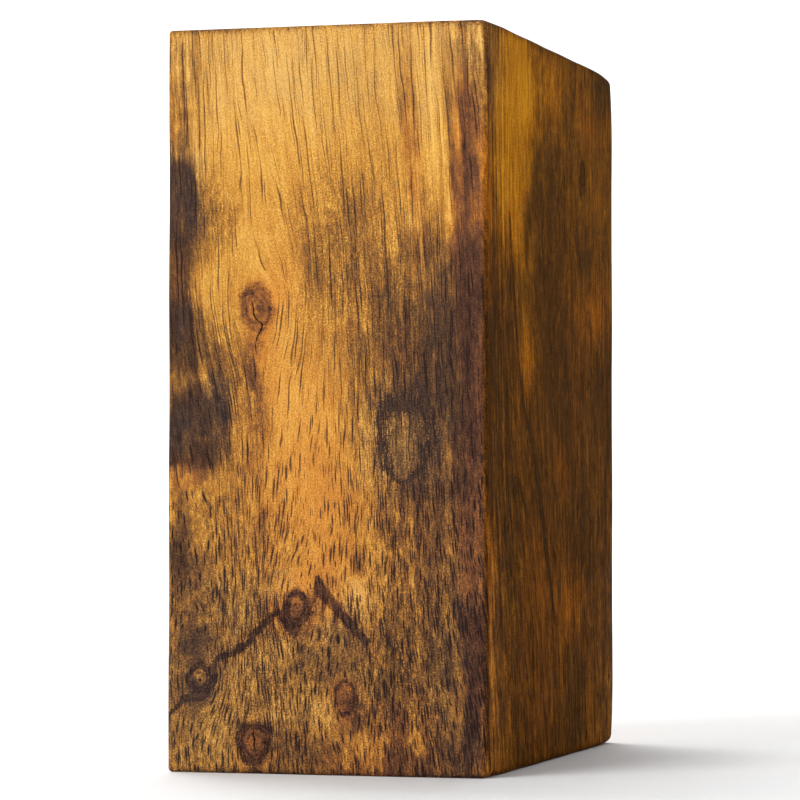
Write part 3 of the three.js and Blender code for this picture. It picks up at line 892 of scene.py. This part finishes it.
def store(mesh, name, columns):
    """Keeps three values for each point of the mesh under one name."""
    kept = mesh.attributes.new(name, "FLOAT_VECTOR", "POINT")
    kept.data.foreach_set("vector", np.stack(columns, axis=1).astype(np.float32).ravel())


def mesh_points(mesh):
    """The points of a mesh as rows of x, y and z."""
    flat = np.empty(3 * len(mesh.vertices), dtype=np.float32)
    mesh.vertices.foreach_get("co", flat)
    return flat.reshape(-1, 3).astype(float)


def sanding(points):
    """How far the sanded surface lies under the true block: mostly hundredths of a millimetre."""
    uneven = wavy(points[:, 0] + points[:, 2] / 3, points[:, 1] - points[:, 2] / 4, seed=8)
    under = SANDED * (1 + SANDED_UNEVEN * uneven)
    inwards = np.sort(HALF - np.abs(points), axis=1)[:, 1]
    under *= np.clip((inwards - EDGE_LINES[-1]) / SANDED_FADE, 0, 1)
    for knot in KNOTS:
        here = knot_ring(knot, points)
        on = knot_depth(knot, points) < SKIN
        under += on * GROOVE * np.exp(-((here - 1) / GROOVE_WIDTH) ** 2)
    return under


def face_unwrap(mesh):
    """A UV map of six flat islands, one for each side of the block, at one scale."""
    layer = mesh.uv_layers.new(name="OFBake")
    points = mesh_points(mesh)
    loops = np.empty(len(mesh.loops), dtype=np.int32)
    mesh.loops.foreach_get("vertex_index", loops)
    uv = np.empty((len(loops), 2))
    for polygon in mesh.polygons:
        middle, normal = np.array(polygon.center), np.array(polygon.normal)
        depths = [HALF[f.out] - f.side * middle[f.out] for f in FACES.values()]
        facing = [f.side * normal[f.out] for f in FACES.values()]
        name = list(FACES)[int(np.argmax(np.array(facing) - np.array(depths)))]
        place, (left, low) = FACES[name], ISLANDS[name]
        for loop in polygon.loop_indices:
            point = points[loops[loop]]
            uv[loop] = (left + point[place.across] + HALF[place.across],
                        low + point[place.up] + HALF[place.up])
    layer.data.foreach_set("uv", (uv / SHEET).ravel())
    mesh.uv_layers.active = layer


def burl_block():
    """The block of wood as one closed mesh with its figure."""
    bm, places = sawn_box()
    rounded = eased(places)
    for vert, place in zip(bm.verts, rounded):
        vert.co = place
    refine(bm)
    bmesh.ops.recalc_face_normals(bm, faces=bm.faces)
    block = mesh_object("burl_block_wood", bm)
    cut_open(block)
    mesh = block.data
    mesh.name = "burl_block_wood"
    points = mesh_points(mesh)
    fields = figure(points)
    store(mesh, "grain", list(grain_places(points).T))
    # the stain kept here holds the painted shade of the check and pith walls too
    store(mesh, "tone", [fields["stain"], fields["red"], fields["cool"]])
    store(mesh, "figure", [fields["streak"], fields["mottle"], fields["line"]])
    store(mesh, "knot", [fields["ring"], fields["rim"], grain_spread(points)])
    face_unwrap(mesh)
    flat = np.abs(points) > HALF - FLAT_WITHIN
    sunk = points - np.sign(points) * flat * sanding(points)[:, None]
    sunk[:, 2] += HALF[2]
    mesh.vertices.foreach_set("co", (sunk * MM).astype(np.float32).ravel())
    mesh.shade_smooth()
    mesh.set_sharp_from_angle(angle=math.radians(SHARP_ANGLE))
    mesh.update()
    return block


# The wood's surface.

class Graph:
    """Adds nodes to a material: each call gives the output socket of the node that it adds."""

    def __init__(self, material):
        material.use_nodes = True
        self.tree = material.node_tree
        self.shader = self.tree.nodes["Principled BSDF"]

    def add(self, kind, inputs, output=0, **settings):
        """A node of a kind with its settings, and a value or a socket for each input."""
        made = self.tree.nodes.new(kind)
        for name, value in settings.items():
            setattr(made, name, value)
        for socket, value in inputs.items():
            if isinstance(value, bpy.types.NodeSocket):
                self.tree.links.new(value, made.inputs[socket])
            else:
                made.inputs[socket].default_value = value
        return made.outputs[output]

    def math(self, operation, *values, clamp=False):
        """The outcome of an operation on up to three values."""
        return self.add("ShaderNodeMath", dict(enumerate(values)), operation=operation,
                        use_clamp=clamp)

    def times(self, first, second):
        """Two values multiplied."""
        return self.math("MULTIPLY", first, second)

    def plus(self, start, value, share, clamp=False):
        """The start with a share of the value added to it."""
        return self.math("MULTIPLY_ADD", value, share, start, clamp=clamp)

    def vector(self, operation, first, second, output=0):
        """The outcome of an operation on two vectors."""
        return self.add("ShaderNodeVectorMath", {0: first, 1: second}, output, operation=operation)

    def stored(self, name):
        """The three values that the mesh keeps at each point under a name."""
        return self.add("ShaderNodeAttribute", {}, "Vector", attribute_name=name)

    def parts(self, vector):
        """The three parts of a vector."""
        split = self.tree.nodes.new("ShaderNodeSeparateXYZ")
        self.tree.links.new(vector, split.inputs[0])
        return split.outputs

    def stretched(self, vector, widths):
        """The vector in a pattern's own units: its widths across, in depth and along."""
        return self.vector("MULTIPLY", vector, tuple(1 / width for width in widths))

    def noise(self, vector, widths, detail=2.0, rough=0.5, output="Fac"):
        """Noise about its middle, from about -0.5 to 0.5, in features of these widths."""
        made = self.add("ShaderNodeTexNoise",
                        {"Vector": self.stretched(vector, widths), "Scale": 1.0,
                         "Detail": detail, "Roughness": rough}, output)
        if output == "Color":
            return self.vector("SUBTRACT", made, (0.5, 0.5, 0.5))
        return self.math("SUBTRACT", made, 0.5)

    def between(self, value, low, high):
        """A smooth step of the value: 0 up to low and 1 from high, or the other way round."""
        if low < high:
            span = {"From Min": low, "From Max": high, "To Min": 0.0, "To Max": 1.0}
        else:
            span = {"From Min": high, "From Max": low, "To Min": 1.0, "To Max": 0.0}
        return self.add("ShaderNodeMapRange", {"Value": value, **span},
                        interpolation_type="SMOOTHSTEP")

    def ramp(self, factor, stops):
        """A colour for each value, from stops of a place and a colour."""
        made = self.tree.nodes.new("ShaderNodeValToRGB")
        self.tree.links.new(factor, made.inputs["Fac"])
        elements = made.color_ramp.elements
        while len(elements) < len(stops):
            elements.new(1.0)
        for element, (place, colour) in zip(elements, stops):
            element.position = place
            element.color = (*colour, 1.0)
        return made.outputs["Color"]

    def mix(self, factor, first, second, **settings):
        """A colour between two others, or the second laid over the first in another way.

        The node's colours are its inputs 6 and 7, and its output 2.
        """
        return self.add("ShaderNodeMix", {0: factor, 6: first, 7: second}, 2, data_type="RGBA",
                        **settings)

    def connect(self, name, socket):
        """Leads a socket to one of the shader's own."""
        self.tree.links.new(socket, self.shader.inputs[name])


# The colour of the wood by how much stain it holds: plain, reddened, and cooled dark wood, whose
# blue-grey darks and paler light wood are a painted sheen. The amber, a painted shade tint, lies
# over the wood that is the opposite of cool.
PLAIN = [
    (0.0, (0.70, 0.40, 0.095)), (0.12, (0.58, 0.285, 0.053)), (0.26, (0.40, 0.178, 0.033)),
    (0.42, (0.235, 0.105, 0.029)), (0.58, (0.135, 0.064, 0.025)), (0.74, (0.075, 0.037, 0.019)),
    (0.9, (0.042, 0.022, 0.014)), (1.0, (0.024, 0.014, 0.011)),
]
REDDENED = [
    (0.0, (0.64, 0.28, 0.055)), (0.12, (0.54, 0.215, 0.037)), (0.26, (0.38, 0.145, 0.029)),
    (0.42, (0.23, 0.085, 0.027)), (0.58, (0.135, 0.054, 0.025)), (0.74, (0.08, 0.035, 0.020)),
    (0.9, (0.045, 0.022, 0.015)), (1.0, (0.024, 0.013, 0.011)),
]
# blue-grey darks and a paler light end: the painted sheen
COOLED_AND_SHEENED = [
    (0.0, (0.70, 0.43, 0.14)), (0.3, (0.36, 0.183, 0.047)), (0.5, (0.17, 0.085, 0.032)),
    (0.7, (0.082, 0.044, 0.027)), (0.85, (0.05, 0.030, 0.024)), (1.0, (0.026, 0.018, 0.016)),
]
# the tint laid over the right face: a painted shade
SHADE_AMBER = (1.0, 0.78, 0.06)


def vessels(graph, wood):
    """The cut vessels: dark tubes that run with the grain, wander, and dip under the face."""
    drift = graph.noise(wood.grain, VESSEL_DRIFT, output="Color")
    drift = graph.vector("MULTIPLY", drift, VESSEL_DRIFT_SIZE)
    wandered = graph.vector("ADD", wood.grain, drift)
    uneven = graph.noise(wood.grain, VESSEL_SWELL, 1.0)
    wider = graph.plus(1.0, graph.between(wood.height, *WIDER_BELOW), WIDER)
    total = None
    for spacing, radius, strength in VESSEL_KINDS:
        cells = graph.add("ShaderNodeTexVoronoi",
                          {"Vector": graph.stretched(wandered, (spacing, spacing, 1.0)),
                           "Scale": 1.0, "Randomness": 1.0}, "Distance", voronoi_dimensions="2D")
        share = graph.parts(cells.node.outputs["Color"])[0]
        bore = graph.plus(VESSEL_BORES[0], share, VESSEL_BORES[1] - VESSEL_BORES[0])
        gap = graph.plus(cells, uneven, VESSEL_UNEVEN)
        gap = graph.math("DIVIDE", gap, graph.times(wood.spread, bore))
        gap = graph.math("DIVIDE", gap, wider)
        wall = [radius / spacing * part for part in VESSEL_WALL]
        tube = graph.times(graph.between(gap, *wall), strength)
        total = tube if total is None else graph.math("MAXIMUM", total, tube)
    return total


def wood_inputs(graph):
    """What the mesh keeps at each point, and the patterns that all parts of the wood share."""
    wood = SimpleNamespace(grain=graph.stored("grain"))
    wood.stain, wood.red, wood.cool = graph.parts(graph.stored("tone"))
    wood.streak, wood.mottle, wood.line = graph.parts(graph.stored("figure"))
    wood.ring, wood.rim, wood.spread = graph.parts(graph.stored("knot"))
    wood.height = graph.parts(wood.grain)[2]
    wood.place = graph.stretched(graph.add("ShaderNodeTexCoord", {}, "Object"), (MM, MM, MM))
    wood.fibres = graph.noise(wood.grain, *FIBRES)
    wood.stripes = graph.noise(wood.grain, *STRIPES)
    wood.clouds = graph.noise(wood.grain, *CLOUDS)
    wood.ticks = graph.noise(wood.grain, *TICKS)
    wood.specks = graph.noise(wood.place, *SPECKS)
    wood.pores = vessels(graph, wood)
    wood.broken = graph.times(graph.between(wood.stain, *BROKEN_FROM),
                              graph.between(wood.stain, *BROKEN_UNTIL))
    wood.in_knot = graph.between(wood.ring, *KNOT_INSIDE)
    return wood


def figure_stain(graph, wood):
    """The stain of the patches, broken up by stripes and clouds."""
    level = graph.math("ADD", wood.stain, GROUND_STAIN)
    streaky = graph.plus(graph.times(wood.streak, STRIPES_STREAKED), wood.broken, STRIPES_BROKEN)
    level = graph.plus(level, wood.stripes, graph.math("ADD", streaky, STRIPES_ALL))
    return graph.plus(level, wood.clouds, graph.plus(CLOUDS_ALL, wood.broken, CLOUDS_BROKEN))


def drawn_stain(graph, wood, level):
    """The stain with the dark lines and the rims of the knots, their borders ragged."""
    ragged = graph.plus(graph.times(wood.ticks, RAGGED_TICKS), wood.specks, RAGGED_SPECKS)
    ragged = graph.plus(ragged, wood.clouds, RAGGED_CLOUDS)
    drawn = graph.between(graph.plus(wood.line, ragged, LINE_RAGGED), *LINE_EDGE)
    drawn = graph.times(drawn, graph.between(wood.line, *LINE_REACH))
    level = graph.plus(level, drawn, LINE_STAIN)
    level = graph.plus(level, wood.rim, graph.plus(1.0, ragged, RIM_RAGGED))
    return graph.math("SMOOTH_MIN", level, DARKEST, DARKEST_BLEND)


def fine_stain(graph, wood, level):
    """The stain with the fine grain, which the dark wood has too."""
    level = graph.plus(level, wood.fibres, graph.plus(FIBRES_ALL, wood.mottle, FIBRES_MOTTLED))
    level = graph.plus(level, wood.ticks, graph.times(wood.broken, TICKS_BROKEN))
    fine = graph.plus(graph.times(wood.specks, FINE_SPECKS), wood.ticks, FINE_TICKS)
    return graph.plus(level, fine, graph.plus(FINE_ALL, wood.mottle, FINE_MOTTLED))


def ringed_stain(graph, wood, level):
    """The stain with the growth rings on the two ends, and the rings in the knots."""
    under_top = [SIZE[2] - gap for gap in END_GRAIN]
    ends = graph.math("ADD", graph.between(wood.height, *under_top),
                      graph.between(wood.height, *END_GRAIN))
    radius = graph.vector("DISTANCE", graph.vector("MULTIPLY", wood.place, (1.0, 1.0, 0.0)),
                          RING_CENTRE, "Value")
    along = graph.plus(graph.times(wood.clouds, RING_WANDER), radius, 1 / RING_WIDTH)
    bands = graph.add("ShaderNodeTexNoise", {"W": along, "Scale": 1.0, "Detail": RING_DETAIL},
                      "Fac", noise_dimensions="1D")
    bands = graph.times(graph.math("SUBTRACT", bands, 0.5), ends)
    level = graph.plus(level, bands, RING_STAIN)
    rings = graph.plus(graph.times(wood.clouds, KNOT_RING_WANDER), wood.ring, KNOT_RING_TURN)
    return graph.plus(level, graph.math("SINE", rings),
                      graph.times(wood.in_knot, KNOT_RING_STAIN))


def pore_stain(graph, wood, level):
    """The stain with the open vessels, of which a knot has none."""
    pores = graph.times(wood.pores, graph.math("SUBTRACT", 1.0, wood.in_knot))
    stain = graph.plus(PORE_STAIN, graph.between(wood.height, *DARKER_BELOW), DARKER)
    return graph.math("MAXIMUM", graph.plus(level, pores, stain), 0.0)


def wood_colour(graph, wood, level):
    """The colour of the wood by its stain and how red it is, with a painted sheen where it is
    cool and a painted amber shade where it is the opposite.
    """
    redness = graph.plus(wood.red, wood.stripes, RED_STRIPES)
    redness = graph.plus(redness, wood.clouds, RED_CLOUDS, clamp=True)
    colour = graph.mix(redness, graph.ramp(level, PLAIN), graph.ramp(level, REDDENED))
    # painted sheen: the cool wood turns blue-grey where dark and paler where light
    coolness = graph.plus(wood.cool, wood.clouds, COOL_SHEEN_CLOUDS, clamp=True)
    coolness = graph.times(coolness, graph.between(wood.cool, *COOL_SHEEN_FROM))
    coolness = graph.times(coolness, graph.between(wood.red, *COOL_SHEEN_UNTIL))
    colour = graph.mix(coolness, colour, graph.ramp(level, COOLED_AND_SHEENED))
    # painted shade: the amber over the wood where cool is negative, mostly the right face
    shade_amber = graph.math("MULTIPLY", wood.cool, -1.0, clamp=True)
    return graph.mix(shade_amber, colour, (*SHADE_AMBER, 1.0), blend_type="MULTIPLY")


def surface_relief(graph, wood):
    """The relief of the sanded wood: open vessels, fibres and specks."""
    relief = graph.plus(graph.times(wood.pores, -1.0), wood.fibres, RELIEF_FIBRES)
    relief = graph.plus(relief, wood.specks, RELIEF_SPECKS)
    return graph.add("ShaderNodeBump", {"Strength": RELIEF_STRENGTH, "Height": relief,
                                        "Distance": RELIEF_DEPTH * MM})


def burl_wood():
    """Oiled burl wood: gold to near black by its stain, with vessels, specks and knots."""
    material = bpy.data.materials.new("burl_wood")
    graph = Graph(material)
    wood = wood_inputs(graph)
    level = figure_stain(graph, wood)
    for stained in (drawn_stain, fine_stain, ringed_stain, pore_stain):
        level = stained(graph, wood, level)
    rough = graph.plus(ROUGHNESS, wood.pores, ROUGH_PORES)
    graph.connect("Base Color", wood_colour(graph, wood, level))
    graph.connect("Roughness", graph.plus(rough, wood.specks, ROUGH_SPECKS))
    graph.connect("Normal", surface_relief(graph, wood))
    graph.shader.inputs["Specular IOR Level"].default_value = GLOSS
    return material


# The stage, the light and the camera.

def seamless_stage():
    """A pale floor that curves up into a wall all round."""
    bm = bmesh.new()
    profile = [(0.0, 0.0), (STAGE_RING, 0.0), (STAGE_FLAT, 0.0)]
    for step in range(1, STAGE_BEND_STEPS + 1):
        turn = math.pi / 2 * step / STAGE_BEND_STEPS
        profile.append((STAGE_FLAT + STAGE_BEND * math.sin(turn),
                        STAGE_BEND * (1 - math.cos(turn))))
    profile.append((STAGE_FLAT + STAGE_BEND, STAGE_WALL))
    verts = [bm.verts.new((x, 0, z)) for x, z in profile]
    edges = [bm.edges.new(pair) for pair in zip(verts, verts[1:])]
    bmesh.ops.spin(bm, geom=verts + edges, axis=(0, 0, 1), cent=(0, 0, 0), steps=STAGE_STEPS,
                   angle=2 * math.pi, use_merge=True)
    bmesh.ops.remove_doubles(bm, verts=bm.verts, dist=STAGE_WELD)
    bmesh.ops.recalc_face_normals(bm, faces=bm.faces)
    bmesh.ops.reverse_faces(bm, faces=bm.faces)
    stage = mesh_object("pale_stage", bm)
    stage.data.shade_smooth()
    stage.data.materials.append(stage_paper())


def stage_paper():
    """Pale matte paper, very slightly uneven."""
    material = bpy.data.materials.new("stage_paper")
    graph = Graph(material)
    place = graph.add("ShaderNodeTexCoord", {}, "Object")
    tint = graph.noise(place, PAPER_BLOTCHES)
    graph.connect("Base Color", graph.ramp(graph.math("ADD", tint, 0.5), STAGE_TINTS))
    graph.shader.inputs["Roughness"].default_value = PAPER_ROUGHNESS
    graph.shader.inputs["Specular IOR Level"].default_value = PAPER_GLOSS
    return material


def soft_light(name, place, aim, size, power):
    """A soft box of a size in metres, at a place, aimed at a point."""
    data = bpy.data.lights.new(name, "AREA")
    data.shape = "RECTANGLE"
    data.size, data.size_y = size
    data.energy = power
    light = bpy.data.objects.new(name, data)
    light.location = place
    light.rotation_euler = (Vector(aim) - Vector(place)).to_track_quat("-Z", "Y").to_euler()
    bpy.context.scene.collection.objects.link(light)


def studio_light():
    """A large soft key from the front left, a light on the backdrop, and a low even surround."""
    for light in SOFT_LIGHTS:
        soft_light(*light)
    world = bpy.data.worlds.new("studio_surround")
    world.use_nodes = True
    backdrop = world.node_tree.nodes["Background"]
    backdrop.inputs["Color"].default_value = (1.0, 1.0, 1.0, 1.0)
    backdrop.inputs["Strength"].default_value = SURROUND
    bpy.context.scene.world = world


def camera():
    """The camera at the photograph's viewing angle, low and close to level."""
    data = bpy.data.cameras.new("camera")
    data.lens = LENS
    data.clip_start, data.clip_end = CAMERA_CLIP
    made = bpy.data.objects.new("camera", data)
    made.location = CAMERA_PLACE
    made.rotation_euler = Vector(CAMERA_LOOK).to_track_quat("-Z", "Y").to_euler()
    bpy.context.scene.collection.objects.link(made)
    bpy.context.scene.camera = made


def dress_block():
    """The wood in place of the plain solid."""
    block = burl_block()
    block.data.materials.clear()
    block.data.materials.append(burl_wood())
    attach(block, "root")
    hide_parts("burl_block")


bpy.context.scene.view_settings.view_transform = "Standard"
camera()
seamless_stage()
studio_light()
dress_block()
